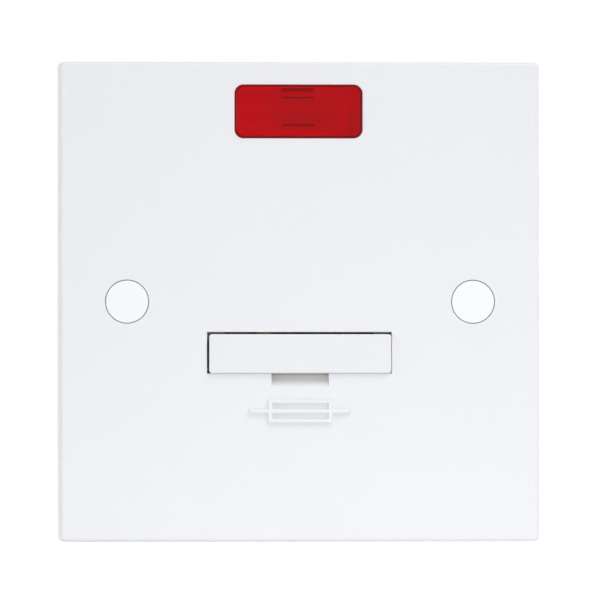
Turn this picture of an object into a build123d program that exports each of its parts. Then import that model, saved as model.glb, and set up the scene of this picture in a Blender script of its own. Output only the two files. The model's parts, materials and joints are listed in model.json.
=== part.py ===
from build123d import *
import os

# Fused connection unit with a neon indicator, for a single flush wall box.
# Millimetres. Seen from the front, +X is right and +Z is up, and the front faces -Y.
# The wall plane is y = 0, and the origin is midway between the two fixing holes on it.

# Front plate
plate_side = 84.0  # square rim at the wall
plate_depth = 9.0  # wall to front face
plate_draft = 2.0  # degrees on each side
plate_corner = 1.0
plate_edge = 0.5  # round along the front edge
face_wall = 2.5
rim_wall = 2.0
rib_wall = 1.6
rib_setback = 1.5  # ribs stop short of the wall
opening_edge = 0.12  # bevel on the edges of the holes in the face

# Fixing holes and the caps over them
fixing_pitch = 60.3
fixing_hole_d = 4.0
fixing_head_d = 6.8  # countersink for the screw head
fixing_head_depth = 1.4
fixing_boss_d = 11.0
cap_d = 7.4
cap_gap = 0.12
cap_hole_depth = 5.0
cap_top = 1.2
cap_wall = 0.75
cap_edge = 0.15
cap_seat_gap = 0.05

# Indicator window
lens_width = 22.0
lens_height = 9.05
lens_corner = 1.4
lens_x = -0.3  # window's middle, a little left of the fixings' middle
lens_margin = 4.35  # plate side to the top of the window
lens_proud = 0.25
lens_wall = 1.3  # at the front
lens_rim = 0.6  # at the sides
lens_edge = 0.3
lens_gap = 0.1
lens_ridge_pitch = 0.6  # prism ridges on the inside of the window
lens_ridge_height = 0.22
lens_bar_width = 5.6  # ribs behind the window that steady the lamp
lens_bar_x = -0.1  # from the window's middle
lens_bar_thick = 0.45
lens_bar_depth = 0.6
lens_bar_rises = (3.6, 2.4, -2.4)  # from the window's middle
flange_margin = 1.2
flange_thick = 1.0

# Indicator pocket, carrier, lamp and resistor
pocket_gap = 0.3
pocket_wall = 1.5
pocket_setback = 0.3
nib_reach = 0.8
nib_depth = 0.6
nib_width = 4.0
carrier_wall = 1.2
carrier_floor_thick = 1.0
saddle_thick = 1.0
saddle_margin = 0.5
seat_gap = 0.05
lamp_d = 4.2
lamp_length = 11.0
lamp_glass = 0.45
lamp_pinch = 1.6
lamp_nose = 1.2
lamp_lift = 0.4  # lamp above the carrier floor
lamp_rise = 1.1  # lamp axis above the window's middle
electrode_length = 5.0
electrode_pitch = 1.3
wire_d = 0.6
wire_bend = 0.6
resistor_d = 2.2
resistor_length = 6.3
resistor_drop = 2.9  # resistor axis below the window's middle
resistor_wire = 1.85
wire_turn_gap = 1.8  # wire's turn to the neutral lead
wire_turn_run = 1.6
lamp_foot_run = 4.1
lead_d = 1.3
lead_gap = 0.25
lead_bend = 0.9
lead_long_bend = 2.4
lead_inset = 1.8  # neutral lead inside the window's end
lead_end = 0.8

# Fuse drawer and its opening
drawer_width = 31.7
drawer_height = 6.8
drawer_z = -9.05
drawer_proud = 0.7
drawer_corner = 0.5
drawer_edge = 0.3
drawer_side_gap = 0.37
drawer_right_gap = 0.1  # at the face, where the gap on the right is the narrower one
drawer_top_gap = 0.37
drawer_bottom_gap = 0.02
drawer_travel = 10.0
drawer_web = 3.0  # front bar, at the bottom of the fuse cradle
cradle_gap = 0.1
cradle_reach = 2.4
beam_thick = 1.5
beam_height = 4.9
arm_height = 4.6
arm_end_gap = 0.3
barb_length = 1.5
barb_reach = 1.25
barb_height = 3.0
guide_gap = 0.15
stop_gap = 0.05
rail_wall = 1.5
rail_lip = 1.4
rail_land = 1.0  # rail left at each end of the barb slot
notch_width = 10.0
notch_height = 2.3
notch_depth = 1.9

# Cartridge fuse
fuse_d = 6.35
fuse_length = 25.4
fuse_cap_length = 5.8
fuse_cap_wall = 0.35
fuse_cap_gap = 0.02

# Fuse clips
strip = 0.6
clip_inset = 0.7  # clip inside the fuse's end
clip_width = 4.6
clip_gap = 0.1
clip_reach = 1.6  # leaves in front of the fuse axis
clip_flare = 0.8
clip_bend = 0.9
tail_width = 2.8
tail_offset = 2.2  # tail from the terminal's middle
tab_rise = 7.4  # tab hole above the fuse axis
tab_margin = 1.2

# Terminals
terminal_front = 4.5
terminal_depth = 9.0
terminal_edge = 0.3
line_gap = 8.4  # between the two line terminals
line_width = 8.0
line_height = 10.0
line_high = -17.0
two_way_gap = 8.8  # between neutral and earth
two_way_width = 14.2
two_way_height = 10.0
two_way_low = 7.0
way_pitch = 7.2
bore_d = 4.4
bore_depth = 8.0
bore_inset = 3.7  # bore axis behind the terminal's front face
peg_side = 1.8  # lug of the terminal that is staked through the clip's tail
peg_proud = 0.3
peg_gap = 0.1
clamp_screw_d = 4.0
clamp_backoff = 0.2
thread_gap = 0.05
slot_width = 0.8
slot_depth = 0.8

# Rear housing and its screws
housing_wall = 2.0
rail_clear = 0.5
housing_corner = 3.0
housing_edge = 1.0
housing_step_gap = 0.8  # behind the drawer rails, where the back steps in
pocket_clear = 0.15
partition = 1.2
partition_front = 6.0
access_d = 4.8
entry_side = 6.0
housing_shank_d = 2.9
housing_head_d = 5.0
housing_head = 2.0
housing_screw_bite = 7.0
well_side = 7.6
well_bore_d = 5.6
well_floor = 1.5
post_side = 6.4
prop_side = 4.2
two_way_prop_offset = 3.5  # prop from the terminal's middle

# Cutters run past the faces that they open
overrun = 1.0

# Flats that stand for the round of thin wires and screws, to keep the model light
wire_sides = 12
screw_sides = 16

# Depths and places that follow from the sizes above
line_x = (line_gap + line_width) / 2
line_low = line_high - line_height
line_z = line_high - line_height / 2
two_way_x = (two_way_gap + two_way_width) / 2
two_way_high = two_way_low + two_way_height
two_way_z = two_way_low + two_way_height / 2
face_y = -plate_depth
inside_y = face_y + face_wall
fixing_x = fixing_pitch / 2
cap_floor_y = face_y + cap_hole_depth
lens_z = plate_side / 2 - lens_margin - lens_height / 2
flange_width = lens_width + 2 * flange_margin
flange_height = lens_height + 2 * flange_margin
flange_rear = inside_y + flange_thick
pocket_width = flange_width + 2 * pocket_gap
pocket_height = flange_height + 2 * pocket_gap
carrier_rear = -pocket_setback - nib_depth - seat_gap
carrier_floor = carrier_rear - carrier_floor_thick
lamp_y = carrier_floor - lamp_lift - lamp_d / 2
lamp_z = lens_z + lamp_rise
lead_neutral_x = lens_x + lens_width / 2 - lead_inset
wire_turn_x = lead_neutral_x - wire_turn_gap
lamp_foot = wire_turn_x - lamp_foot_run
lamp_tip = lamp_foot - lamp_length
lamp_x = (lamp_foot + lamp_tip) / 2
resistor_z = lens_z - resistor_drop
resistor_reach = resistor_length / 2 + resistor_wire
resistor_x = wire_turn_x - wire_turn_run - resistor_reach
fuse_r = fuse_d / 2
cradle_r = fuse_r + cradle_gap
drawer_front = face_y - drawer_proud
fuse_y = drawer_front + drawer_web + cradle_r
bar_rear = fuse_y - cradle_reach
beam_front = fuse_y + cradle_reach
beam_rear = fuse_y + cradle_r + beam_thick
arm_inside = fuse_length / 2 + arm_end_gap
arm_outside = drawer_width / 2
rail_inside = arm_outside + drawer_side_gap
rail_outside = rail_inside + rail_wall
slot_front = inside_y + rail_land
barb_front = slot_front + drawer_travel + stop_gap
arm_rear = barb_front + barb_length
slot_rear = arm_rear + guide_gap
rail_rear = slot_rear + rail_land
opening_low = drawer_z - drawer_height / 2 - drawer_bottom_gap
opening_high = drawer_z + drawer_height / 2 + drawer_top_gap
leaf_z = fuse_r + clip_gap + strip / 2
web_y = terminal_front - strip / 2
clip_x = fuse_length / 2 - clip_inset - clip_width
tail_x = line_x - tail_offset
lead_live_x = -tail_x
tab_hole_z = drawer_z + tab_rise
two_way_prop_x = two_way_x + two_way_prop_offset
terminal_rear = terminal_front + terminal_depth
bore_y = terminal_front + bore_inset
housing_rear = terminal_rear + housing_wall
housing_inside = max(two_way_x + two_way_width / 2 + pocket_clear, rail_outside + rail_clear)
housing_width = 2 * (housing_inside + housing_wall)
housing_low = line_low - pocket_clear - housing_wall
housing_high = two_way_high + pocket_clear + housing_wall
housing_height = housing_high - housing_low
housing_z = (housing_high + housing_low) / 2
housing_screw_places = (two_way_z, line_z)
step_inside = rail_rear + housing_step_gap
step_rear = step_inside + housing_wall
upper_tower = (two_way_low - pocket_clear - housing_wall, housing_high)
lower_tower = (housing_low, line_high + pocket_clear + housing_wall)
lead_seat_z = two_way_high - bore_depth - lead_d / 2 - lead_gap - seat_gap


def block(x, y, z):
    """Box between a pair of coordinates on each axis."""
    lows = [min(pair) for pair in (x, y, z)]
    sizes = [abs(pair[1] - pair[0]) for pair in (x, y, z)]
    return Pos(*lows) * Box(*sizes, align=(Align.MIN, Align.MIN, Align.MIN))


def around(middle, size):
    """The pair of coordinates that lie half a size either side of a middle."""
    return middle - size / 2, middle + size / 2


def front_view(y):
    """Drawing plane at a depth, with X across and Z up. It extrudes towards the front."""
    return Plane.XZ.offset(-y)


def slab(outline, front, rear):
    """Front-view outline made solid between two depths."""
    return extrude(front_view(rear) * outline, amount=rear - front)


def disc(x, z, diameter, front, rear):
    """Cylinder along Y."""
    return slab(Pos(x, z) * Circle(diameter / 2), front, rear)


def rod_x(diameter, start, end, y, z):
    """Cylinder along X."""
    return extrude(Plane.YZ.offset(start) * Pos(y, z) * Circle(diameter / 2), amount=end - start)


def rod_z(diameter, low, high, x, y):
    """Cylinder along Z."""
    return extrude(Plane.XY.offset(low) * Pos(x, y) * Circle(diameter / 2), amount=high - low)


def stud(x, z, diameter, front, rear):
    """Cylinder along Y with flats, for screws and for the holes that they go through."""
    return slab(Pos(x, z) * RegularPolygon(diameter / 2, screw_sides), front, rear)


def wire(points, cuts, diameter):
    """Wire along straight runs, with each corner cut across at a distance from it."""
    places = [Vector(*point) for point in points]
    route = [places[0]]
    for before, corner, after, cut in zip(places, places[1:], places[2:], cuts):
        route.append(corner + (before - corner).normalized() * cut)
        route.append(corner + (after - corner).normalized() * cut)
    path = Polyline(*route, places[-1])
    start = Plane(origin=path @ 0, z_dir=path % 0)
    section = RegularPolygon(diameter / 2, wire_sides)
    return sweep(start * section, path=path, transition=Transition.RIGHT)


def fixing_cutter(x):
    """Cap hole, countersink and clearance hole of one fixing."""
    head_rear = cap_floor_y + fixing_head_depth
    sink = Cone(
        fixing_hole_d / 2,
        fixing_head_d / 2,
        fixing_head_depth,
        align=(Align.CENTER, Align.CENTER, Align.MIN),
    )
    hole = disc(x, 0, fixing_hole_d, head_rear - overrun, overrun)
    return hole + Pos(x, head_rear, 0) * Rot(90, 0, 0) * sink


def cap_hole(x):
    return disc(x, 0, cap_d + 2 * cap_gap, face_y - overrun, cap_floor_y)


def drawer_opening():
    right = arm_outside + drawer_right_gap
    return block((-rail_inside, right), (face_y - overrun, inside_y), (opening_low, opening_high))


def lens_aperture():
    outline = RectangleRounded(
        lens_width + 2 * lens_gap, lens_height + 2 * lens_gap, lens_corner + lens_gap
    )
    return slab(Pos(lens_x, lens_z) * outline, face_y - overrun, inside_y)


def notch_cutter():
    """Ramp under the drawer for a screwdriver tip, deepest at the drawer."""
    low = opening_low - notch_height
    high = opening_low + overrun
    profile = Polyline(
        (face_y - overrun, low),
        (face_y, low),
        (face_y + notch_depth, opening_low),
        (face_y + notch_depth, high),
        (face_y - overrun, high),
        close=True,
    )
    return extrude(Plane.YZ * make_face(profile), amount=notch_width / 2, both=True)


def drawer_rail(side):
    """Guide channel behind one end of the drawer opening, with a slot that holds the barb."""
    lip_inside = arm_height / 2 + guide_gap
    rail_height = 2 * (lip_inside + rail_lip)
    wall_x = (side * rail_inside, side * rail_outside)
    rail = block(wall_x, (inside_y, rail_rear), around(drawer_z, rail_height))
    lips = block(
        (side * arm_inside, side * rail_inside),
        (bar_rear + stop_gap, rail_rear),
        around(drawer_z, rail_height),
    )
    channel = block(
        (side * arm_inside, side * rail_inside),
        (bar_rear, rail_rear),
        around(drawer_z, 2 * lip_inside),
    )
    slot = block(wall_x, (slot_front, slot_rear), around(drawer_z, barb_height + 2 * guide_gap))
    return rail + lips - channel - slot


def lens_pocket():
    """Walls behind the window that hold the lens flange and the lamp carrier."""
    inner = Rectangle(pocket_width, pocket_height)
    outer = Rectangle(pocket_width + 2 * pocket_wall, pocket_height + 2 * pocket_wall)
    walls = slab(Pos(lens_x, lens_z) * (outer - inner), inside_y, -pocket_setback)
    nib_y = (-pocket_setback - nib_depth, -pocket_setback)
    for side in (-1, 1):
        edge = lens_x + side * pocket_width / 2
        walls += block((edge - side * nib_reach, edge), nib_y, around(lens_z, nib_width))
    return walls - lead_slots(lens_z - pocket_height / 2 - pocket_wall)


def lead_slots(low):
    """Cutter for the two leads where they leave the indicator downwards."""
    high = low + pocket_wall + pocket_gap + carrier_wall
    width = lead_d + 2 * lead_gap
    cutter = Part()
    for x in (lead_neutral_x, lead_live_x):
        span = (low - overrun, high + overrun)
        cutter += block(around(x, width), (lamp_y - width / 2, overrun), span)
    return cutter


def line_prop(side):
    """Pair of ribs that press a clip's tail on its terminal, either side of the peg."""
    depth = (inside_y, terminal_front - strip)
    ribs = block(around(side * tail_x, prop_side), depth, around(line_z, prop_side))
    return ribs - block(around(side * tail_x, prop_side), depth, around(line_z, peg_side + 2 * peg_gap))


def two_way_prop(side):
    """Rib that holds a two-way terminal back in its pocket."""
    depth = (inside_y, terminal_front)
    return block(around(side * two_way_prop_x, prop_side), depth, around(two_way_z, rib_wall))


def make_front_plate():
    rim = RectangleRounded(plate_side, plate_side, plate_corner)
    plate = extrude(front_view(0) * rim, amount=plate_depth, taper=plate_draft)
    plate = fillet(plate.faces().sort_by(Axis.Y)[0].edges(), plate_edge)
    hollow_side = plate_side - 2 * rim_wall
    hollow = Rectangle(hollow_side, hollow_side)
    plate -= extrude(front_view(0) * hollow, amount=-inside_y, taper=plate_draft)
    for side in (-1, 1):
        x = side * fixing_x
        plate += disc(x, 0, fixing_boss_d, inside_y, 0)
        rib_x = (x, side * (plate_side - rim_wall) / 2)
        plate += block(rib_x, (inside_y, -rib_setback), around(0, rib_wall))
        plate -= cap_hole(x)
    plate -= lens_aperture() + drawer_opening()
    plate = chamfer(plate.faces().sort_by(Axis.Y)[0].inner_wires().edges(), opening_edge)
    plate -= notch_cutter()
    plate += lens_pocket()
    for side in (-1, 1):
        plate -= fixing_cutter(side * fixing_x)
        plate += drawer_rail(side)
        plate += line_prop(side) + two_way_prop(side)
    for z in housing_screw_places:
        pilot_front = terminal_front - housing_screw_bite - overrun
        plate += block(around(0, post_side), (inside_y, terminal_front), around(z, post_side))
        plate -= stud(0, z, housing_shank_d + 2 * thread_gap, pilot_front, terminal_front)
    return plate


def make_screw_cap(side):
    x = side * fixing_x
    rear = cap_floor_y - cap_seat_gap
    cap = disc(x, 0, cap_d, face_y, rear)
    cap = chamfer(cap.faces().sort_by(Axis.Y)[0].edges(), cap_edge)
    return cap - disc(x, 0, cap_d - 2 * cap_wall, face_y + cap_top, rear)


def make_neon_lens():
    front = face_y - lens_proud
    inner_face = front + lens_wall
    inner_width = lens_width - 2 * lens_rim
    inner_height = lens_height - 2 * lens_rim
    window = slab(
        Pos(lens_x, lens_z) * RectangleRounded(lens_width, lens_height, lens_corner), front, flange_rear
    )
    window = chamfer(window.faces().sort_by(Axis.Y)[0].edges(), lens_edge)
    flange = RectangleRounded(flange_width, flange_height, lens_corner)
    window += slab(Pos(lens_x, lens_z) * flange, inside_y, flange_rear)
    hollow = Rectangle(inner_width, inner_height)
    window -= slab(Pos(lens_x, lens_z) * hollow, inner_face, flange_rear)
    count = int(inner_height / lens_ridge_pitch)
    ridge = Polyline(
        (inner_face, -lens_ridge_pitch / 2),
        (inner_face + lens_ridge_height, 0),
        (inner_face, lens_ridge_pitch / 2),
        close=True,
    )
    for step in range(count):
        z = lens_z + (step - (count - 1) / 2) * lens_ridge_pitch
        outline = Plane.YZ.offset(lens_x) * Pos(0, z) * make_face(ridge)
        window += extrude(outline, amount=inner_width / 2, both=True)
    for rise in lens_bar_rises:
        bar_y = (inner_face, inner_face + lens_bar_depth)
        bar_z = around(lens_z + rise, lens_bar_thick)
        window += block(around(lens_x + lens_bar_x, lens_bar_width), bar_y, bar_z)
    return window


def saddle(x, z, diameter):
    """Rib on the carrier floor with a round seat for the lamp or the resistor."""
    rib = block(
        around(x, saddle_thick), (lamp_y, carrier_floor), around(z, diameter + 2 * saddle_margin)
    )
    return rib - rod_x(diameter + 2 * seat_gap, x - saddle_thick, x + saddle_thick, lamp_y, z)


def make_neon_carrier():
    outline = Rectangle(flange_width, flange_height)
    tray = slab(Pos(lens_x, lens_z) * outline, flange_rear, carrier_rear)
    hollow = Rectangle(flange_width - 2 * carrier_wall, flange_height - 2 * carrier_wall)
    tray -= slab(Pos(lens_x, lens_z) * hollow, flange_rear, carrier_floor)
    lamp_quarter = lamp_length / 4
    tray += saddle(lamp_x - lamp_quarter, lamp_z, lamp_d)
    tray += saddle(lamp_x + lamp_quarter, lamp_z, lamp_d)
    tray += saddle(resistor_x, resistor_z, resistor_d)
    return tray - lead_slots(lens_z - flange_height / 2 - pocket_gap - pocket_wall)


def make_neon_lamp():
    """Glass envelope with a tapered nose, closed round the two wires at its foot."""
    inner_d = lamp_d - 2 * lamp_glass
    glass = rod_x(lamp_d, lamp_tip, lamp_foot, lamp_y, lamp_z)
    glass = chamfer(glass.faces().sort_by(Axis.X)[0].edges(), lamp_nose)
    glass -= rod_x(inner_d, lamp_tip + lamp_nose, lamp_foot - lamp_pinch, lamp_y, lamp_z)
    for side in (-1, 1):
        z = lamp_z + side * electrode_pitch / 2
        hole_ends = [(lamp_foot, lamp_y, z), (lamp_foot - lamp_pinch, lamp_y, z)]
        glass -= wire(hole_ends, [], wire_d + 2 * seat_gap)
    return glass


def make_neon_electrodes():
    """Two electrodes: one wire turns back to the resistor, the other runs on to the neutral lead."""
    tip = lamp_foot - lamp_pinch - electrode_length
    low = lamp_z - electrode_pitch / 2
    high = lamp_z + electrode_pitch / 2
    turn = [
        (tip, lamp_y, low),
        (wire_turn_x, lamp_y, low),
        (wire_turn_x, lamp_y, resistor_z),
        (resistor_x + resistor_reach, lamp_y, resistor_z),
    ]
    turned = wire(turn, [wire_bend, wire_bend], wire_d)
    straight = wire([(wire_turn_x, lamp_y, high), (tip, lamp_y, high)], [], wire_d)
    return Compound(children=[turned, straight])


def make_neon_resistor():
    """Axial resistor: a plain round body with a wire at each end."""
    body_ends = around(resistor_x, resistor_length)
    wire_ends = [(x, lamp_y, resistor_z) for x in around(resistor_x, 2 * resistor_reach)]
    return rod_x(resistor_d, *body_ends, lamp_y, resistor_z) + wire(wire_ends, [], wire_d)


def make_neon_lead_live():
    """Lead from the resistor down to the tab of the load clip."""
    route = [
        (resistor_x - resistor_reach, lamp_y, resistor_z),
        (lead_live_x, lamp_y, resistor_z),
        (lead_live_x, lamp_y, tab_hole_z),
        (lead_live_x, terminal_front + lead_end, tab_hole_z),
    ]
    return wire(route, [lead_bend, lead_long_bend], lead_d)


def make_neon_lead_neutral():
    """Lead from the lamp down to its seat in the neutral terminal."""
    route = [
        (wire_turn_x, lamp_y, lamp_z + electrode_pitch / 2),
        (lead_neutral_x, lamp_y, lamp_z + electrode_pitch / 2),
        (lead_neutral_x, lamp_y, lead_seat_z),
        (lead_neutral_x, terminal_front + lead_end, lead_seat_z),
    ]
    return wire(route, [lead_bend, lead_long_bend], lead_d)


def make_fuse_drawer():
    outline = RectangleRounded(drawer_width, drawer_height, drawer_corner)
    bar = slab(Pos(0, drawer_z) * outline, drawer_front, bar_rear)
    drawer = fillet(bar.faces().sort_by(Axis.Y)[0].edges(), drawer_edge)
    for side in (-1, 1):
        arm_x = (side * arm_inside, side * arm_outside)
        drawer += block(arm_x, (bar_rear, arm_rear), around(drawer_z, arm_height))
        barb = Polyline(
            (side * arm_outside, barb_front),
            (side * (arm_outside + barb_reach), barb_front),
            (side * arm_outside, arm_rear),
            close=True,
        )
        low = drawer_z - barb_height / 2
        drawer += extrude(Plane.XY.offset(low) * make_face(barb), amount=barb_height, dir=(0, 0, 1))
    drawer += block(
        (-arm_inside, arm_inside), (beam_front, beam_rear), around(drawer_z, beam_height)
    )
    return drawer - rod_x(2 * cradle_r, -arm_inside, arm_inside, fuse_y, drawer_z)


def make_fuse_body():
    half = fuse_length / 2 - fuse_cap_wall - fuse_cap_gap
    diameter = fuse_d - 2 * (fuse_cap_wall + fuse_cap_gap)
    return rod_x(diameter, -half, half, fuse_y, drawer_z)


def make_fuse_caps():
    caps = []
    for side in (-1, 1):
        outer = side * fuse_length / 2
        inner = outer - side * fuse_cap_length
        floor = outer - side * fuse_cap_wall
        cup = rod_x(fuse_d, min(inner, outer), max(inner, outer), fuse_y, drawer_z)
        bore_d_cap = fuse_d - 2 * fuse_cap_wall
        caps.append(cup - rod_x(bore_d_cap, min(inner, floor), max(inner, floor), fuse_y, drawer_z))
    return Compound(children=caps)


def make_fuse_clip(side, with_tab):
    """Folded strip: two sprung leaves over a fuse cap and a tail that lies on the line terminal."""
    mouth_y = fuse_y - clip_reach
    profile = FilletPolyline(
        (mouth_y - clip_flare, drawer_z + leaf_z + clip_flare),
        (mouth_y, drawer_z + leaf_z),
        (web_y, drawer_z + leaf_z),
        (web_y, drawer_z - leaf_z),
        (mouth_y, drawer_z - leaf_z),
        (mouth_y - clip_flare, drawer_z - leaf_z - clip_flare),
        radius=clip_bend,
    )
    start = clip_x if side > 0 else -clip_x - clip_width
    clip = extrude(Plane.YZ.offset(start) * trace(profile, strip), amount=clip_width)
    web_half = leaf_z - clip_bend
    tail_top = drawer_z + web_half
    if with_tab:
        tail_top = tab_hole_z + lead_d / 2 + tab_margin
    tail_span = (line_low + tab_margin, tail_top)
    strip_y = (terminal_front - strip, terminal_front)
    clip += block(around(side * tail_x, tail_width), strip_y, tail_span)
    web_x = (side * (tail_x - tail_width / 2), side * clip_x)
    clip += block(web_x, strip_y, around(drawer_z, 2 * web_half))
    peg_hole = peg_side + 2 * peg_gap
    clip -= block(around(side * tail_x, peg_hole), strip_y, around(line_z, peg_hole))
    if with_tab:
        clip -= disc(side * tail_x, tab_hole_z, lead_d + 2 * lead_gap, *strip_y)
    return clip


def make_terminal(x, width, low, high, ways, entry):
    """Brass block with a wire bore and a clamp screw hole for each way. Entry is the wire's end of Z."""
    depth = (terminal_front, terminal_rear)
    terminal = chamfer(block(around(x, width), depth, (low, high)).edges(), terminal_edge)
    for way in ways:
        mouth = high if entry > 0 else low
        floor = mouth - entry * bore_depth
        terminal -= rod_z(bore_d, min(mouth, floor), max(mouth, floor), way, bore_y)
        terminal -= stud(way, (mouth + floor) / 2, clamp_screw_d, bore_y, terminal_rear)
    return terminal


def make_line_terminal(side):
    x = side * line_x
    terminal = make_terminal(x, line_width, line_low, line_high, [x], -1)
    peg_front = terminal_front - strip - peg_proud
    peg_y = (peg_front, terminal_front + overrun)
    return terminal + block(around(side * tail_x, peg_side), peg_y, around(line_z, peg_side))


def two_way_places(side):
    return [side * two_way_x - way_pitch / 2, side * two_way_x + way_pitch / 2]


def make_neutral_terminal():
    ways = two_way_places(1)
    terminal = make_terminal(two_way_x, two_way_width, two_way_low, two_way_high, ways, 1)
    seat_d = lead_d + 2 * lead_gap
    return terminal - disc(
        lead_neutral_x, lead_seat_z, seat_d, terminal_front, terminal_front + lead_end + seat_gap
    )


def make_earth_terminal():
    ways = two_way_places(-1)
    return make_terminal(-two_way_x, two_way_width, two_way_low, two_way_high, ways, 1)


def clamp_place(low, high, entry):
    """Height of a clamp screw, over the middle of its bore."""
    return high - bore_depth / 2 if entry > 0 else low + bore_depth / 2


def make_clamp_screws(ways, z):
    """Headless slotted clamp screws, backed off clear of the wire bores."""
    tip = bore_y + bore_d / 2 + clamp_backoff
    slot_y = (housing_rear - slot_depth, housing_rear)
    screws = []
    for x in ways:
        screw = stud(x, z, clamp_screw_d - 2 * thread_gap, tip, housing_rear)
        screws.append(screw - block(around(x, clamp_screw_d), slot_y, around(z, slot_width)))
    return Compound(children=screws)


def terminal_places():
    """Each terminal's middle X, width, low and high Z, ways and entry side."""
    places = []
    for side in (-1, 1):
        places.append((side * line_x, line_width, line_low, line_high, [side * line_x], -1))
        ways = two_way_places(side)
        places.append((side * two_way_x, two_way_width, two_way_low, two_way_high, ways, 1))
    return places


def housing_tower(span, inset, rear):
    """Part of the housing outline between two heights, drawn in by an inset, from the step to a depth."""
    outline = RectangleRounded(
        housing_width - 2 * inset, housing_height - 2 * inset, housing_corner - inset
    )
    tower = slab(Pos(0, housing_z) * outline, inside_y, rear)
    low, high = min(span) + inset, max(span) - inset
    return tower & block(around(0, housing_width), (inside_y, rear), (low, high))


def entry_cutter(way, mouth, entry):
    """Square wire entry through the housing wall."""
    outside = mouth + entry * (pocket_clear + housing_wall + overrun)
    return block(around(way, entry_side), around(bore_y, entry_side), (mouth, outside))


def make_rear_housing():
    """Tray open to the front, with a deep tower over each row of terminals and a step between them."""
    housing = housing_tower((housing_low, housing_high), 0, step_rear)
    for span in (upper_tower, lower_tower):
        tower = housing_tower(span, 0, housing_rear)
        housing += chamfer(tower.faces().sort_by(Axis.Y)[-1].edges(), housing_edge)
    housing -= housing_tower((housing_low, housing_high), housing_wall, step_inside)
    for span in (upper_tower, lower_tower):
        housing -= housing_tower(span, housing_wall, terminal_rear)
    partition_y = (partition_front, terminal_rear)
    pocket_y = (terminal_front, terminal_rear)
    for x, width, low, high, ways, entry in terminal_places():
        margin = 2 * (pocket_clear + partition)
        middle = (high + low) / 2
        housing += block(around(x, width + margin), partition_y, around(middle, high - low))
    for x, width, low, high, ways, entry in terminal_places():
        middle = (high + low) / 2
        pocket_z = around(middle, high - low + 2 * pocket_clear)
        housing -= block(around(x, width + 2 * pocket_clear), pocket_y, pocket_z)
        for way in ways:
            housing -= entry_cutter(way, high if entry > 0 else low, entry)
            clamp_z = clamp_place(low, high, entry)
            housing -= stud(way, clamp_z, access_d, terminal_rear, housing_rear + overrun)
    for z in housing_screw_places:
        well_y = (terminal_front, housing_rear)
        housing += block(around(0, well_side), well_y, around(z, well_side))
        housing -= stud(0, z, well_bore_d, terminal_front + well_floor, housing_rear)
        housing -= stud(0, z, housing_shank_d + 2 * thread_gap, terminal_front, housing_rear)
    width = lead_d + 2 * lead_gap
    for x in (lead_neutral_x, lead_live_x):
        wall = (housing_high - housing_wall - overrun, housing_high + overrun)
        housing -= block(around(x, width), (inside_y, lamp_y + width / 2), wall)
    return housing


def make_housing_screws():
    """Screws in the housing wells, with cross recesses in their heads."""
    head_front = terminal_front + well_floor
    head_rear = head_front + housing_head
    screws = []
    for z in housing_screw_places:
        screw = stud(0, z, housing_shank_d, terminal_front - housing_screw_bite, head_front)
        screw += stud(0, z, housing_head_d, head_front, head_rear)
        recess_y = (head_rear - slot_depth, head_rear)
        long_side = housing_head_d / 2
        screw -= block(around(0, long_side), recess_y, around(z, slot_width))
        screw -= block(around(0, slot_width), recess_y, around(z, long_side))
        screws.append(screw)
    return Compound(children=screws)


nodes = {
    "front_plate": make_front_plate(),
    "screw_cap_left": make_screw_cap(-1),
    "screw_cap_right": make_screw_cap(1),
    "neon_lens": make_neon_lens(),
    "neon_carrier": make_neon_carrier(),
    "neon_lamp": make_neon_lamp(),
    "neon_electrodes": make_neon_electrodes(),
    "neon_resistor": make_neon_resistor(),
    "neon_lead_live": make_neon_lead_live(),
    "neon_lead_neutral": make_neon_lead_neutral(),
    "fuse_drawer": make_fuse_drawer(),
    "fuse_body": make_fuse_body(),
    "fuse_caps": make_fuse_caps(),
    "supply_fuse_clip": make_fuse_clip(1, with_tab=False),
    "load_fuse_clip": make_fuse_clip(-1, with_tab=True),
    "supply_terminal": make_line_terminal(1),
    "load_terminal": make_line_terminal(-1),
    "neutral_terminal": make_neutral_terminal(),
    "earth_terminal": make_earth_terminal(),
    "supply_screw": make_clamp_screws([line_x], clamp_place(line_low, line_high, -1)),
    "load_screw": make_clamp_screws([-line_x], clamp_place(line_low, line_high, -1)),
    "neutral_screws": make_clamp_screws(two_way_places(1), clamp_place(two_way_low, two_way_high, 1)),
    "earth_screws": make_clamp_screws(two_way_places(-1), clamp_place(two_way_low, two_way_high, 1)),
    "rear_housing": make_rear_housing(),
    "housing_screws": make_housing_screws(),
}

os.makedirs("parts", exist_ok=True)
for name, shape in nodes.items():
    shape.label = name
    export_step(shape, f"parts/{name}.step")
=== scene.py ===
import bpy
import json
import math
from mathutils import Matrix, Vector


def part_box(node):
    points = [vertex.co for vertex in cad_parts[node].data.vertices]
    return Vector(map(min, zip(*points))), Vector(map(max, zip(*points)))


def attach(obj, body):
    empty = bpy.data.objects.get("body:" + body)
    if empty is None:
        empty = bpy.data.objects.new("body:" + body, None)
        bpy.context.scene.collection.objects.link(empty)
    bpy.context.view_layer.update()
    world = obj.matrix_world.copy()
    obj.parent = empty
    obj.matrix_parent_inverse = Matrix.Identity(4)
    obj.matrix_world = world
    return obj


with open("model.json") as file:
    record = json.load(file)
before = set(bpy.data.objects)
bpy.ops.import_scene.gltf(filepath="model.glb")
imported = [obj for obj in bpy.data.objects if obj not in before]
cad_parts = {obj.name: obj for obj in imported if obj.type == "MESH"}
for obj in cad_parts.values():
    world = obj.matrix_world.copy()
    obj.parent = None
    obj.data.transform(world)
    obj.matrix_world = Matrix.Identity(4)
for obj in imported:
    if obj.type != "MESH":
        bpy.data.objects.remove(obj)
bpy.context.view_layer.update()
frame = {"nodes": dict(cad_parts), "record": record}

# Fused connection unit: finishes for the CAD nodes, and the small moulded marks that the CAD leaves out.
# Sizes are millimetres in the CAD frame, apart from the studio's, which are metres as in Blender.
MM = 0.001

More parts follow.
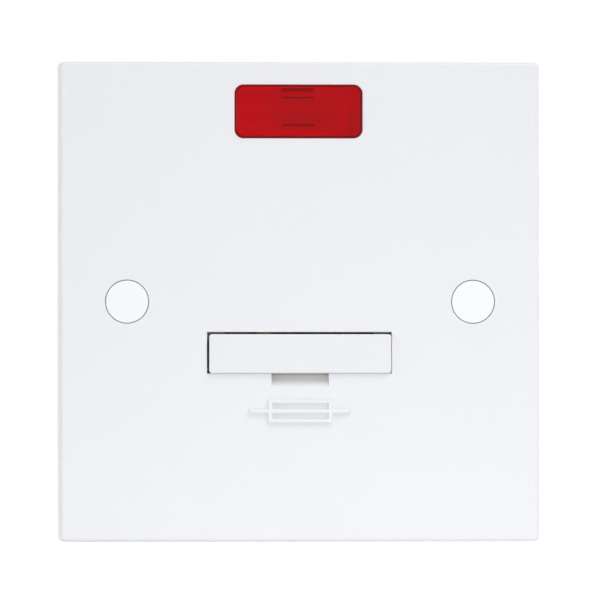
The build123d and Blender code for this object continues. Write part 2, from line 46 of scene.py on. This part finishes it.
# Where the photograph was taken from, and the scale at the plate's face
PICTURE_SIDE = 600
FACE_MM_PER_PIXEL = 0.17403
CAMERA_DISTANCE = 1500
CAMERA_AZIMUTH = math.radians(-3.0)
CAMERA_ELEVATION = math.radians(-0.5)
AIM_X = -0.04
AIM_Z = 0.3
SENSOR_WIDTH = 36

# Studio, in metres: soft lamps (place, width, height and watts) and a floor that glows more further out
SOFTBOXES = {
    "key_softbox": ((0.5, -0.68, 1.05), 1.0, 1.0, 10.2),
    "fill_softbox": ((-1.3, -0.45, 0.15), 0.9, 0.9, 5.8),
    "back_softbox": ((0.65, 0.95, 0.5), 1.0, 1.0, 5.5),
    "low_strip": ((0.02, -0.17, -0.045), 0.2, 0.01, 0.048),
}
AMBIENT = 0.318
CLIP_START = 0.05
CLIP_END = 30
FLOOR_SIDE = 8
FLOOR_COLOUR = (0.94, 0.94, 0.94, 1)
FLOOR_GLOW_NEAR = 0.32
FLOOR_GLOW_FAR = 0.76
FLOOR_GLOW_REACH = (0.2, 1.2)

# The unit hangs on a wall, so it clears the floor
FLOOR_DROP = 24

# Most of a noise lies between these two values
NOISE_LOW = 0.3
NOISE_HIGH = 0.7

# Moulded plastic: size of its faint clouds and of its duller patches, and how much duller those are
CLOUD_CELL = 30
PATCH_CELL = 9
PATCH_DULLING = 0.05

# Drawn metal: how much duller it is along its lines
LINE_DULLING = 0.14

# Red window: its size, its clearance in the plate, and its red from dark to pale
WINDOW_WIDTH = 22.0
WINDOW_HEIGHT = 9.05
WINDOW_GAP = 0.1
DARK_RED = (0.71, 0.004, 0.008)
PALE_RED = (0.80, 0.006, 0.010)

# Ribs behind the window (rise and thickness, from its middle), painted on it as shade, and the painted
# shadow of the lamp in the zone round them
RIB_X = -0.1
RIB_WIDTH = 5.5
RIBS = ((3.75, 0.42), (2.4, 0.1), (-2.4, 0.2))
RIB_BLUR = 0.2
RIB_SHADE = (0.5, 0.85, 0.85)
LAMP_SHADOW_HEIGHT = 4
LAMP_SHADOW_BLUR_X = 5
LAMP_SHADOW_BLUR_Z = 2
LAMP_SHADOW = (0.86, 1.4, 1.2)

# Faint streaks of painted shade right across the window, for the ridges on its inside (rise and thickness)
STREAKS = ((3.1, 0.3), (1.6, 0.7), (-1.1, 1.2), (-2.9, 0.5))
STREAK_BLUR = 0.5
STREAK_SHADE = (0.92, 1.15, 1.1)

# The window darkens to its right, and has painted shadow once more where a lead lies behind it
RIGHT_START = -2
RIGHT_END = 10
RIGHT_SHADE = (0.86, 1.1, 1)
LEAD_X = 9.2
LEAD_WIDTH = 0.6
LEAD_BLUR = 0.3
LEAD_FADE = 1.5
LEAD_SHADE = (0.84, 1.2, 1)

# Bevel round the window, darkened with painted shade, told by the Y of its normal, which is -1 on the front
# and 0 on the sides
BEVEL_FRONT = (-0.97, -0.8)
BEVEL_SIDE = (-0.2, -0.4)
BEVEL_SHADE = (0.55, 0.5, 0.5)

# Painted red light from the window on the wall of its opening in the plate
FACE_WALL = 2.5
CAST_START = 0.12
CAST_END = 0.1
CAST_MARGIN = 0.07
CAST_BLUR = 0.03
PAINTED_RED_LIGHT = (0.72, 0.12, 0.16)

# Painted shade in the notch under the drawer, which screwdrivers reach into, and more of it in the upper
# corner
NOTCH_WIDTH = 10.0
NOTCH_HEIGHT = 2.2
NOTCH_MIDDLE_Z = -13.62
NOTCH_DEPTH = 1.9
NOTCH_SHADE_START = 0.1
NOTCH_SHADE_END = (0.3, 0.1)
NOTCH_SHADE_BLUR_X = 0.1
NOTCH_SHADE_BLUR_Z = 0.05
NOTCH_SHADE = (0.9, 0.86, 0.8)
CORNER_SHADE = (0.62, 0.61, 0.62)
CORNER_REACH = 0.45

# Wire at each end of the resistor
RESISTOR_WIRE = 1.85

# Marks go a little into what carries them, and have soft edges
SEAT = 0.1
EDGE_SEGMENTS = 2
EDGE_ANGLE = math.radians(40)
SMOOTH_ANGLE = math.radians(50)

# Raised fuse sign under the drawer's notch
SIGN_WIDTH = 17.7
SIGN_HEIGHT = 4.15
SIGN_BODY_WIDTH = 11.2
SIGN_STROKE = 0.7
SIGN_MIDDLE_Z = -19.0
SIGN_PROUD = 0.6
SIGN_EDGE = 0.14

# Terminal marks on the back of the housing, in the step between its two towers
STEP_Y = 10.0
MARK_STROKE = 0.55
MARK_PROUD = 0.5
MARK_EDGE = 0.1
UPPER_MARK_Z = 1.6
NEUTRAL_MARK_X = 11.5
EARTH_MARK_X = -11.5
EARTH_BARS = ((4.2, 0.3), (2.8, -0.95), (1.4, -2.2))  # width and rise
EARTH_HEIGHT = 5.0
LINE_MARK_X = 8.2
LINE_MARK_Z = -11.9
LETTER_SIZE = 5.0
LETTER_FATTENING = 0.1
LETTER_EDGE = 0.06
LETTER_CURVE_STEPS = 3
LETTER_OFFSET = -1.6
ARROW_SIDE = 2.6
ARROW_SLIMNESS = 0.85
ARROW_OFFSET = 1.9

# Ejector pin marks inside the plate
PIN_MARK_RADIUS = 1.9
PIN_MARK_SIDES = 40
PIN_MARK_RIM = 0.22
PIN_MARK_PROUD = 0.07
PIN_MARK_EDGE = 0.025
PIN_MARK_X = 33.0
PIN_MARK_Z = 27.0


def metres(*lengths):
    return tuple(length * MM for length in lengths)


def box_mm(node):
    low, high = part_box(node)
    return low / MM, high / MM


def middle_mm(node):
    low, high = box_mm(node)
    return (low + high) / 2


plate_low = box_mm("front_plate")[0]
FACE_Y = plate_low.y


# Camera, light and floor

def place_camera():
    back = Vector((
        math.sin(CAMERA_AZIMUTH) * math.cos(CAMERA_ELEVATION),
        -math.cos(CAMERA_AZIMUTH) * math.cos(CAMERA_ELEVATION),
        math.sin(CAMERA_ELEVATION),
    ))
    aim = Vector((AIM_X, FACE_Y, AIM_Z))
    bpy.ops.object.camera_add(location=(aim + back * CAMERA_DISTANCE) * MM)
    camera = bpy.context.object
    camera.name = "photo_camera"
    camera.rotation_euler = (-back).to_track_quat("-Z", "Y").to_euler()
    camera.data.sensor_width = SENSOR_WIDTH
    camera.data.lens = SENSOR_WIDTH * CAMERA_DISTANCE / (PICTURE_SIDE * FACE_MM_PER_PIXEL)
    camera.data.clip_start = CLIP_START
    camera.data.clip_end = CLIP_END
    bpy.context.scene.camera = camera


def place_softbox(name, place, width, height, watts):
    """Soft light at a place in metres, turned to the middle of the plate's face."""
    place = Vector(place)
    face_middle = Vector(metres(0, FACE_Y, 0))
    bpy.ops.object.light_add(type="AREA", location=place)
    softbox = bpy.context.object
    softbox.name = name
    softbox.rotation_euler = (face_middle - place).to_track_quat("-Z", "Y").to_euler()
    softbox.data.shape = "RECTANGLE"
    softbox.data.size = width
    softbox.data.size_y = height
    softbox.data.energy = watts
    softbox.visible_camera = False


def seen_directly(nodes, links):
    """1 for camera, glossy and transmission rays, so that the white backdrop shows in metal and glass."""
    path = nodes.new("ShaderNodeLightPath")
    mirror = nodes.new("ShaderNodeMath")
    mirror.operation = "MAXIMUM"
    links.new(path.outputs["Is Camera Ray"], mirror.inputs[0])
    links.new(path.outputs["Is Glossy Ray"], mirror.inputs[1])
    clear = nodes.new("ShaderNodeMath")
    clear.operation = "MAXIMUM"
    links.new(mirror.outputs[0], clear.inputs[0])
    links.new(path.outputs["Is Transmission Ray"], clear.inputs[1])
    return clear.outputs[0]


def light_world():
    world = bpy.data.worlds.new("white_studio")
    world.use_nodes = True
    nodes = world.node_tree.nodes
    links = world.node_tree.links
    sky = nodes["Background"]
    sky.inputs["Color"].default_value = (1, 1, 1, 1)
    level = nodes.new("ShaderNodeMapRange")
    level.inputs["To Min"].default_value = AMBIENT
    level.inputs["To Max"].default_value = 1
    links.new(seen_directly(nodes, links), level.inputs["Value"])
    links.new(level.outputs["Result"], sky.inputs["Strength"])
    bpy.context.scene.world = world


def lay_floor():
    """White floor that keeps the object's shadow: its glow makes up for the light lost further out."""
    bpy.ops.mesh.primitive_plane_add(size=FLOOR_SIDE, location=metres(0, 0, plate_low.z - FLOOR_DROP))
    floor = bpy.context.object
    floor.name = "studio_floor"
    paint = bpy.data.materials.new("floor_white")
    paint.use_nodes = True
    nodes = paint.node_tree.nodes
    links = paint.node_tree.links
    nodes.remove(nodes["Principled BSDF"])
    matt = nodes.new("ShaderNodeBsdfDiffuse")
    matt.inputs["Color"].default_value = FLOOR_COLOUR
    glow = nodes.new("ShaderNodeEmission")
    place = nodes.new("ShaderNodeTexCoord")
    distance = nodes.new("ShaderNodeVectorMath")
    distance.operation = "LENGTH"
    links.new(place.outputs["Object"], distance.inputs[0])
    growth = nodes.new("ShaderNodeMapRange")
    growth.inputs["From Min"].default_value = FLOOR_GLOW_REACH[0]
    growth.inputs["From Max"].default_value = FLOOR_GLOW_REACH[1]
    growth.inputs["To Min"].default_value = FLOOR_GLOW_NEAR
    growth.inputs["To Max"].default_value = FLOOR_GLOW_FAR
    links.new(distance.outputs["Value"], growth.inputs["Value"])
    strength = nodes.new("ShaderNodeMath")
    strength.operation = "MULTIPLY"
    links.new(seen_directly(nodes, links), strength.inputs[0])
    links.new(growth.outputs["Result"], strength.inputs[1])
    links.new(strength.outputs[0], glow.inputs["Strength"])
    both = nodes.new("ShaderNodeAddShader")
    links.new(matt.outputs[0], both.inputs[0])
    links.new(glow.outputs[0], both.inputs[1])
    links.new(both.outputs[0], nodes["Material Output"].inputs["Surface"])
    floor.data.materials.append(paint)


# Finishes

class Finish:
    """A material under construction: its shader, and patterns read from the piece's own coordinates."""

    def __init__(self, slot):
        self.slot = slot
        self.material = bpy.data.materials.new(slot + "_finish")
        self.material.use_nodes = True
        self.nodes = self.material.node_tree.nodes
        self.links = self.material.node_tree.links
        self.shader = self.nodes["Principled BSDF"]
        place = self.nodes.new("ShaderNodeTexCoord")
        self.coordinates = place.outputs["Object"]
        self.facing = place.outputs["Normal"]

    def set(self, **values):
        for name, value in values.items():
            self.shader.inputs[name.replace("_", " ")].default_value = value

    def noise(self, cell, detail=2.0, stretch=(1, 1, 1)):
        """Noise whose features are about cell millimetres across, longer where stretch is below 1."""
        mapping = self.nodes.new("ShaderNodeMapping")
        mapping.inputs["Scale"].default_value = stretch
        self.links.new(self.coordinates, mapping.inputs["Vector"])
        noise = self.nodes.new("ShaderNodeTexNoise")
        noise.inputs["Scale"].default_value = 1 / (cell * MM)
        noise.inputs["Detail"].default_value = detail
        self.links.new(mapping.outputs["Vector"], noise.inputs["Vector"])
        return noise.outputs["Fac"]

    def colours(self, source, *stops, constant=False):
        """Colour ramp over source, as (place, colour) stops."""
        ramp = self.nodes.new("ShaderNodeValToRGB")
        if constant:
            ramp.color_ramp.interpolation = "CONSTANT"
        elements = ramp.color_ramp.elements
        while len(elements) < len(stops):
            elements.new(0.5)
        for element, (place, colour) in zip(elements, stops):
            element.position = place
            element.color = (*colour, 1)
        self.links.new(source, ramp.inputs["Fac"])
        return ramp.outputs["Color"]

    def mottle(self, source, dark, pale):
        """Colour from dark to pale over most of a noise."""
        return self.colours(source, (NOISE_LOW, dark), (NOISE_HIGH, pale))

    def paint(self, colour):
        self.links.new(colour, self.shader.inputs["Base Color"])

    def gloss(self, source, shiny, dull):
        """Roughness from shiny to dull over most of a noise."""
        span = self.nodes.new("ShaderNodeMapRange")
        span.inputs["From Min"].default_value = NOISE_LOW
        span.inputs["From Max"].default_value = NOISE_HIGH
        span.inputs["To Min"].default_value = shiny
        span.inputs["To Max"].default_value = dull
        self.links.new(source, span.inputs["Value"])
        self.links.new(span.outputs["Result"], self.shader.inputs["Roughness"])

    def relief(self, source, height):
        """Bump of height millimetres."""
        bump = self.nodes.new("ShaderNodeBump")
        bump.inputs["Distance"].default_value = height * MM
        bump.inputs["Strength"].default_value = 1
        self.links.new(source, bump.inputs["Height"])
        self.links.new(bump.outputs["Normal"], self.shader.inputs["Normal"])

    def rise(self, source, axis, start, end):
        """0 to 1 as one axis of a vector goes from start to end."""
        split = self.nodes.new("ShaderNodeSeparateXYZ")
        self.links.new(source, split.inputs["Vector"])
        span = self.nodes.new("ShaderNodeMapRange")
        span.inputs["From Min"].default_value = start
        span.inputs["From Max"].default_value = end
        self.links.new(split.outputs[axis], span.inputs["Value"])
        return span.outputs["Result"]

    def along(self, axis, start, end):
        """0 to 1 as the coordinate on that axis goes from start to end, in millimetres."""
        return self.rise(self.coordinates, axis, start * MM, end * MM)

    def join(self, operation, *sources):
        """Math node after math node over all the sources."""
        result = sources[0]
        for source in sources[1:]:
            node = self.nodes.new("ShaderNodeMath")
            node.operation = operation
            self.links.new(result, node.inputs[0])
            self.links.new(source, node.inputs[1])
            result = node.outputs[0]
        return result

    def where_all(self, *sources):
        return self.join("MULTIPLY", *sources)

    def where_any(self, *sources):
        return self.join("MAXIMUM", *sources)

    def band(self, axis, middle, width, blur):
        """1 across a width about a middle, fading to 0 over a blur on each side, in millimetres."""
        half = width / 2
        return self.where_all(
            self.along(axis, middle - half - blur, middle - half),
            self.along(axis, middle + half + blur, middle + half),
        )

    def levels(self, middle_z, rises, blur):
        """1 on level bands, each of a rise from a middle and a thickness."""
        bands = [self.band("Z", middle_z + rise, thickness, blur) for rise, thickness in rises]
        return self.where_any(*bands)

    def shade(self, colour, amount, factors):
        """The colour, multiplied by factors where amount is 1."""
        mix = self.nodes.new("ShaderNodeMix")
        mix.data_type = "RGBA"
        mix.blend_type = "MULTIPLY"
        factor, first, second = mix.inputs[0], mix.inputs[6], mix.inputs[7]
        self.links.new(amount, factor)
        self.links.new(colour, first)
        second.default_value = (*factors, 1)
        return mix.outputs[2]


def paint_notch_shade(finish, colour):
    """The colour with painted shade deep in the drawer's notch, and most in the corner under the drawer."""
    notch_top = NOTCH_MIDDLE_Z + NOTCH_HEIGHT / 2
    notch_floor_y = FACE_Y + NOTCH_DEPTH
    deep = finish.where_all(
        finish.band("X", 0, NOTCH_WIDTH, NOTCH_SHADE_BLUR_X),
        finish.band("Z", NOTCH_MIDDLE_Z, NOTCH_HEIGHT, NOTCH_SHADE_BLUR_Z),
        finish.along("Y", FACE_Y + NOTCH_SHADE_START, FACE_Y + NOTCH_DEPTH / 2),
        finish.along("Y", notch_floor_y + NOTCH_SHADE_END[0], notch_floor_y + NOTCH_SHADE_END[1]),
    )
    corner = finish.where_all(deep, finish.along("Z", notch_top - CORNER_REACH, notch_top))
    return finish.shade(finish.shade(colour, deep, NOTCH_SHADE), corner, CORNER_SHADE)


def paint_red_light(finish, colour):
    """The colour with painted red light from the window on the wall of its opening."""
    middle = middle_mm("neon_lens")
    margin = 2 * (WINDOW_GAP + CAST_MARGIN)
    wall_back_y = FACE_Y + FACE_WALL
    opening = finish.where_all(
        finish.band("X", middle.x, WINDOW_WIDTH + margin, CAST_BLUR),
        finish.band("Z", middle.z, WINDOW_HEIGHT + margin, CAST_BLUR),
        finish.along("Y", FACE_Y, FACE_Y + CAST_START),
        finish.along("Y", wall_back_y + CAST_END, wall_back_y),
    )
    return finish.shade(colour, opening, PAINTED_RED_LIGHT)


def moulded_plastic(name, dark, pale, rough, peel, cell=0.9, marks=()):
    """Moulded plastic: faint clouding, the slight peel of a polished mould, and any marks on its colour."""
    finish = Finish(name)
    colour = finish.colours(finish.noise(CLOUD_CELL, detail=1), (0.2, dark), (0.8, pale))
    for mark in marks:
        colour = mark(finish, colour)
    finish.paint(colour)
    finish.gloss(finish.noise(PATCH_CELL), shiny=rough, dull=rough + PATCH_DULLING)
    finish.relief(finish.noise(cell, detail=3), peel)
    finish.set(IOR=1.5)
    return finish


def clear_red_window():
    """Cloudy red plastic with painted shade: duller in its middle for the lamp's shadow, darker at its bevel
    and where the ribs lie behind it.
    """
    finish = Finish("red_window")
    middle = middle_mm("neon_lens")
    rib_x = middle.x + RIB_X
    lamp_shadow_zone = finish.where_all(
        finish.band("X", rib_x, RIB_WIDTH, LAMP_SHADOW_BLUR_X),
        finish.band("Z", middle.z, LAMP_SHADOW_HEIGHT, LAMP_SHADOW_BLUR_Z),
    )
    streaks = finish.levels(middle.z, STREAKS, STREAK_BLUR)
    right = finish.along("X", middle.x + RIGHT_START, middle.x + RIGHT_END)
    lead = finish.where_all(
        finish.band("X", middle.x + LEAD_X, LEAD_WIDTH, LEAD_BLUR),
        finish.along("Z", middle.z + LEAD_FADE, middle.z),
    )
    ribs = finish.where_all(
        finish.band("X", rib_x, RIB_WIDTH, RIB_BLUR),
        finish.levels(middle.z, RIBS, RIB_BLUR),
    )
    bevel = finish.where_all(
        finish.rise(finish.facing, "Y", *BEVEL_FRONT),
        finish.rise(finish.facing, "Y", *BEVEL_SIDE),
    )
    red = finish.mottle(finish.noise(cell=3.5, detail=3, stretch=(0.25, 1, 1)), DARK_RED, PALE_RED)
    # Painted shade over the red: the lamp's shadow, the streaks, the lead's shadow, the ribs and the bevel;
    # and the darkening to the right
    for amount, factors in (
        (lamp_shadow_zone, LAMP_SHADOW),
        (streaks, STREAK_SHADE),
        (right, RIGHT_SHADE),
        (lead, LEAD_SHADE),
        (ribs, RIB_SHADE),
        (bevel, BEVEL_SHADE),
    ):
        red = finish.shade(red, amount, factors)
    finish.paint(red)
    finish.gloss(finish.noise(cell=5, detail=3), shiny=0.03, dull=0.08)
    finish.relief(finish.noise(cell=1.6), height=0.002)
    finish.set(IOR=1.2, Specular_IOR_Level=0.25, Transmission_Weight=0.35)
    return finish


def lamp_glass():
    finish = Finish("lamp_glass")
    finish.paint(finish.mottle(finish.noise(cell=2.5), (0.93, 0.95, 0.95), (0.98, 0.98, 0.97)))
    finish.gloss(finish.noise(cell=1.5, detail=3), shiny=0.01, dull=0.05)
    finish.relief(finish.noise(cell=2.0), height=0.01)
    finish.set(IOR=1.5, Transmission_Weight=1.0)
    return finish


def drawn_metal(name, dark, pale, rough, stretch, cell=0.5, scratch=0.004):
    """Metal with fine lines along the way that it was rolled, drawn or turned."""
    finish = Finish(name)
    lines = finish.noise(cell, detail=4, stretch=stretch)
    finish.paint(finish.mottle(finish.noise(cell=3.0, detail=4), dark, pale))
    finish.gloss(lines, shiny=rough, dull=rough + LINE_DULLING)
    finish.relief(lines, scratch)
    finish.set(Metallic=1.0)
    return finish


def banded_resistor():
    """Lacquered body with four painted bands, the last one set apart."""
    finish = Finish("resistor_coat")
    lacquer = (0.52, 0.36, 0.19)
    band_width = 0.08
    bands = (
        (0.14, (0.62, 0.30, 0.02)),
        (0.30, (0.42, 0.10, 0.02)),
        (0.46, (0.72, 0.55, 0.03)),
        (0.76, (0.55, 0.38, 0.08)),
    )
    stops = [(0.0, lacquer)]
    for start, colour in bands:
        stops += [(start, colour), (start + band_width, lacquer)]
    low, high = box_mm("neon_resistor")
    along_body = finish.along("X", low.x + RESISTOR_WIRE, high.x - RESISTOR_WIRE)
    finish.paint(finish.colours(along_body, *stops, constant=True))
    finish.gloss(finish.noise(cell=1.2, detail=3), shiny=0.3, dull=0.45)
    finish.relief(finish.noise(cell=0.5, detail=3), height=0.01)
    return finish


def sleeve(name, dark, pale):
    """Soft extruded sleeve of a lead."""
    finish = Finish(name)
    finish.paint(finish.colours(finish.noise(cell=1.6, detail=3), (0.35, dark), (0.65, pale)))
    finish.gloss(finish.noise(cell=0.8, detail=3), shiny=0.38, dull=0.52)
    finish.relief(finish.noise(cell=0.35), height=0.008)
    return finish


def fired_ceramic():
    """Unglazed white ceramic with a fine warm speckle."""
    finish = Finish("fuse_ceramic")
    speckle = finish.noise(cell=0.5, detail=6)
    finish.paint(finish.colours(
        speckle,
        (0.25, (0.70, 0.66, 0.57)),
        (0.45, (0.80, 0.77, 0.70)),
        (0.75, (0.84, 0.82, 0.76)),
    ))
    finish.gloss(finish.noise(cell=1.0, detail=4), shiny=0.5, dull=0.65)
    finish.relief(finish.noise(cell=0.3, detail=5), height=0.015)
    return finish


def make_finishes():
    across = (0.05, 1, 1)
    upright = (1, 1, 0.05)
    turned = (1, 0.08, 0.08)
    filed = (0.3, 1, 0.3)
    brass = ((0.62, 0.42, 0.16), (0.78, 0.57, 0.25))
    return [
        moulded_plastic(
            "plate_plastic", (0.832, 0.84, 0.873), (0.838, 0.846, 0.879), rough=0.29, peel=0.004,
            # the plate's marks are painted shade in the drawer's notch and painted red light on the wall of
            # the window's opening
            marks=(paint_notch_shade, paint_red_light),
        ),
        moulded_plastic(
            "cap_plastic", (0.905, 0.925, 0.94), (0.911, 0.931, 0.946), rough=0.3, peel=0.003
        ),
        moulded_plastic(
            "drawer_plastic", (0.818, 0.826, 0.854), (0.824, 0.832, 0.86), rough=0.29, peel=0.004
        ),
        moulded_plastic(
            "inner_plastic", (0.76, 0.76, 0.74), (0.8, 0.8, 0.78), rough=0.42, peel=0.01, cell=0.4
        ),
        moulded_plastic(
            "housing_plastic", (0.76, 0.76, 0.74), (0.8, 0.8, 0.785), rough=0.38, peel=0.012, cell=0.45
        ),
        clear_red_window(),
        lamp_glass(),
        drawn_metal(
            "bright_wire", (0.62, 0.63, 0.64), (0.76, 0.77, 0.78), rough=0.22, stretch=across, cell=0.3
        ),
        banded_resistor(),
        sleeve("live_sleeve", (0.075, 0.028, 0.012), (0.105, 0.042, 0.018)),
        sleeve("neutral_sleeve", (0.012, 0.05, 0.24), (0.02, 0.075, 0.31)),
        fired_ceramic(),
        drawn_metal(
            "fuse_cap_metal", (0.60, 0.58, 0.54), (0.74, 0.72, 0.68), rough=0.2, stretch=turned, cell=0.3
        ),
        drawn_metal("spring_brass", *brass, rough=0.24, stretch=upright),
        drawn_metal("terminal_brass", *brass, rough=0.28, stretch=across, cell=0.4, scratch=0.006),
        drawn_metal(
            "plated_steel", (0.52, 0.54, 0.56), (0.70, 0.71, 0.70), rough=0.26, stretch=filed, cell=0.35
        ),
    ]


# Moulded marks

def start_piece():
    """Object mode with nothing selected."""
    if bpy.context.object and bpy.context.object.mode != "OBJECT":
        bpy.ops.object.mode_set(mode="OBJECT")
    bpy.ops.object.select_all(action="DESELECT")


def settle():
    """Puts the active piece's place, turn and size into its mesh."""
    bpy.ops.object.transform_apply(location=True, rotation=True, scale=True)


def extrude_all(height):
    """Extrudes the whole active piece along Y, in edit mode, with the far face left selected."""
    bpy.ops.object.mode_set(mode="EDIT")
    bpy.ops.mesh.select_all(action="SELECT")
    bpy.ops.mesh.extrude_region_move(TRANSFORM_OT_translate={"value": metres(0, height, 0)})


def close_piece(edge, segments=EDGE_SEGMENTS):
    """Turns the active piece's faces outwards and softens its edges."""
    bpy.ops.mesh.select_all(action="SELECT")
    bpy.ops.mesh.normals_make_consistent(inside=False)
    bpy.ops.object.mode_set(mode="OBJECT")
    bevel = bpy.context.object.modifiers.new("soft_edge", "BEVEL")
    bevel.width = edge * MM
    bevel.segments = segments
    bevel.limit_method = "ANGLE"
    bevel.angle_limit = EDGE_ANGLE
    bpy.ops.object.modifier_apply(modifier=bevel.name)
    bpy.ops.object.shade_smooth_by_angle(angle=SMOOTH_ANGLE)


def raise_sheet(height, edge):
    """Makes the active flat mark a solid with soft edges, height millimetres along Y."""
    extrude_all(height)
    close_piece(edge)


def fit_out(piece, name, slot, body="unit"):
    """Names a piece, and gives it its finish and the body that it moves with."""
    piece.name = name
    piece.data.name = name
    piece.data.materials.clear()
    piece.data.materials.append(finishes[slot])
    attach(piece, body)


def cut_sheet(width, height, x_cuts, z_cuts, unused):
    """Upright sheet about the origin, cut along lines and without the cells that unused() names."""
    start_piece()
    bpy.ops.mesh.primitive_plane_add(size=1, rotation=(math.pi / 2, 0, 0))
    sheet = bpy.context.object
    sheet.scale = (width * MM, height * MM, 1)
    settle()
    bpy.ops.object.mode_set(mode="EDIT")
    for x in x_cuts:
        bpy.ops.mesh.select_all(action="SELECT")
        bpy.ops.mesh.bisect(plane_co=metres(x, 0, 0), plane_no=(1, 0, 0))
    for z in z_cuts:
        bpy.ops.mesh.select_all(action="SELECT")
        bpy.ops.mesh.bisect(plane_co=metres(0, 0, z), plane_no=(0, 0, 1))
    bpy.ops.mesh.select_mode(type="FACE")
    bpy.ops.mesh.select_all(action="DESELECT")
    bpy.ops.object.mode_set(mode="OBJECT")
    for cell in sheet.data.polygons:
        cell.select = unused(cell.center.x / MM, cell.center.z / MM)
    bpy.ops.object.mode_set(mode="EDIT")
    bpy.ops.mesh.delete(type="FACE")
    bpy.ops.object.mode_set(mode="OBJECT")
    return sheet


def make_fuse_sign():
    """Drawing sign of a fuse: a long box with a line through it."""
    half = SIGN_BODY_WIDTH / 2
    inner = half - SIGN_STROKE
    rail = SIGN_HEIGHT / 2 - SIGN_STROKE
    line = SIGN_STROKE / 2

    def unused(x, z):
        on_line = abs(z) < line
        on_box = abs(x) < half and (abs(x) > inner or abs(z) > rail)
        return not (on_line or on_box)

    sheet = cut_sheet(
        SIGN_WIDTH, SIGN_HEIGHT, (-half, -inner, inner, half), (-rail, -line, line, rail), unused
    )
    sheet.location = metres(0, FACE_Y + SEAT, SIGN_MIDDLE_Z)
    settle()
    raise_sheet(-SIGN_PROUD - SEAT, SIGN_EDGE)
    fit_out(sheet, "fuse_sign", "plate_plastic")


def make_earth_mark():
    """Drawing sign of an earth: a stem over three bars, each shorter than the one above."""
    line = MARK_STROKE / 2
    sheet_width, top_bar = EARTH_BARS[0]

    def unused(x, z):
        for width, rise in EARTH_BARS:
            if abs(x) < width / 2 and abs(z - rise) < line:
                return False
        return not (abs(x) < line and z > top_bar)

    reaches = [line] + [width / 2 for width, _ in EARTH_BARS[1:]]
    x_cuts = [side * reach for side in (-1, 1) for reach in reaches]
    z_cuts = [rise + side * line for _, rise in EARTH_BARS for side in (-1, 1)]
    sheet = cut_sheet(sheet_width, EARTH_HEIGHT, x_cuts, z_cuts, unused)
    sheet.location = metres(EARTH_MARK_X, STEP_Y - SEAT, UPPER_MARK_Z)
    settle()
    raise_sheet(MARK_PROUD + SEAT, MARK_EDGE)
    fit_out(sheet, "earth_mark", "housing_plastic")


def make_letter(name, letter, x, z):
    """Terminal letter that reads from behind."""
    start_piece()
    bpy.ops.object.text_add()
    text = bpy.context.object
    text.data.body = letter
    text.data.align_x = "CENTER"
    text.data.align_y = "CENTER"
    text.data.size = LETTER_SIZE * MM
    text.data.resolution_u = LETTER_CURVE_STEPS
    text.data.offset = LETTER_FATTENING * MM
    bpy.ops.object.convert(target="MESH")
    mark = bpy.context.object
    mark.rotation_euler = (math.pi / 2, 0, math.pi)
    mark.location = metres(x, STEP_Y - SEAT, z)
    settle()
    raise_sheet(MARK_PROUD + SEAT, LETTER_EDGE)
    fit_out(mark, name, "housing_plastic")


def make_arrow(name, x, z, way):
    """Arrow beside a line terminal: way 1 points up, into the unit, and -1 down, out of it."""
    start_piece()
    bpy.ops.mesh.primitive_circle_add(
        vertices=3, radius=ARROW_SIDE / 2 * MM, fill_type="NGON", rotation=(math.pi / 2, 0, 0)
    )
    mark = bpy.context.object
    mark.scale = (ARROW_SLIMNESS, way, 1)
    mark.location = metres(x, STEP_Y - SEAT, z)
    settle()
    raise_sheet(MARK_PROUD + SEAT, MARK_EDGE)
    fit_out(mark, name, "housing_plastic")


def make_pin_mark(name, x, z):
    """Round witness mark of a mould's ejector pin, with a fine raised rim, on the plate's inside."""
    inside_y = box_mm("rear_housing")[0].y
    start_piece()
    bpy.ops.mesh.primitive_circle_add(
        vertices=PIN_MARK_SIDES, radius=PIN_MARK_RADIUS * MM, fill_type="NGON", rotation=(-math.pi / 2, 0, 0)
    )
    mark = bpy.context.object
    mark.location = metres(x, inside_y - SEAT, z)
    settle()
    extrude_all(SEAT + PIN_MARK_PROUD)
    bpy.ops.mesh.inset(thickness=PIN_MARK_RIM * MM)
    bpy.ops.transform.translate(value=metres(0, -PIN_MARK_PROUD / 2, 0))
    close_piece(PIN_MARK_EDGE, segments=1)
    fit_out(mark, name, "plate_plastic")


# The scene

start_piece()
bpy.context.scene.view_settings.view_transform = "Standard"
place_camera()
light_world()
lay_floor()
for name, softbox in SOFTBOXES.items():
    place_softbox(name, *softbox)

finishes = {finish.slot: finish.material for finish in make_finishes()}
for subpart in frame["record"]["subparts"]:
    node = frame["nodes"][subpart["node"]]
    for material_slot in node.material_slots:
        material_slot.material = finishes[subpart["material_slot"]]

make_fuse_sign()
make_earth_mark()
make_letter("neutral_letter", "N", NEUTRAL_MARK_X, UPPER_MARK_Z)
for name, side, way in (("supply", 1, 1), ("load", -1, -1)):
    make_letter(name + "_letter", "L", side * LINE_MARK_X + LETTER_OFFSET, LINE_MARK_Z)
    make_arrow(name + "_arrow", side * LINE_MARK_X + ARROW_OFFSET, LINE_MARK_Z, way)
for column, side_x in (("left", -1), ("right", 1)):
    for row, side_z in (("low", -1), ("high", 1)):
        make_pin_mark(f"pin_mark_{column}_{row}", side_x * PIN_MARK_X, side_z * PIN_MARK_Z)
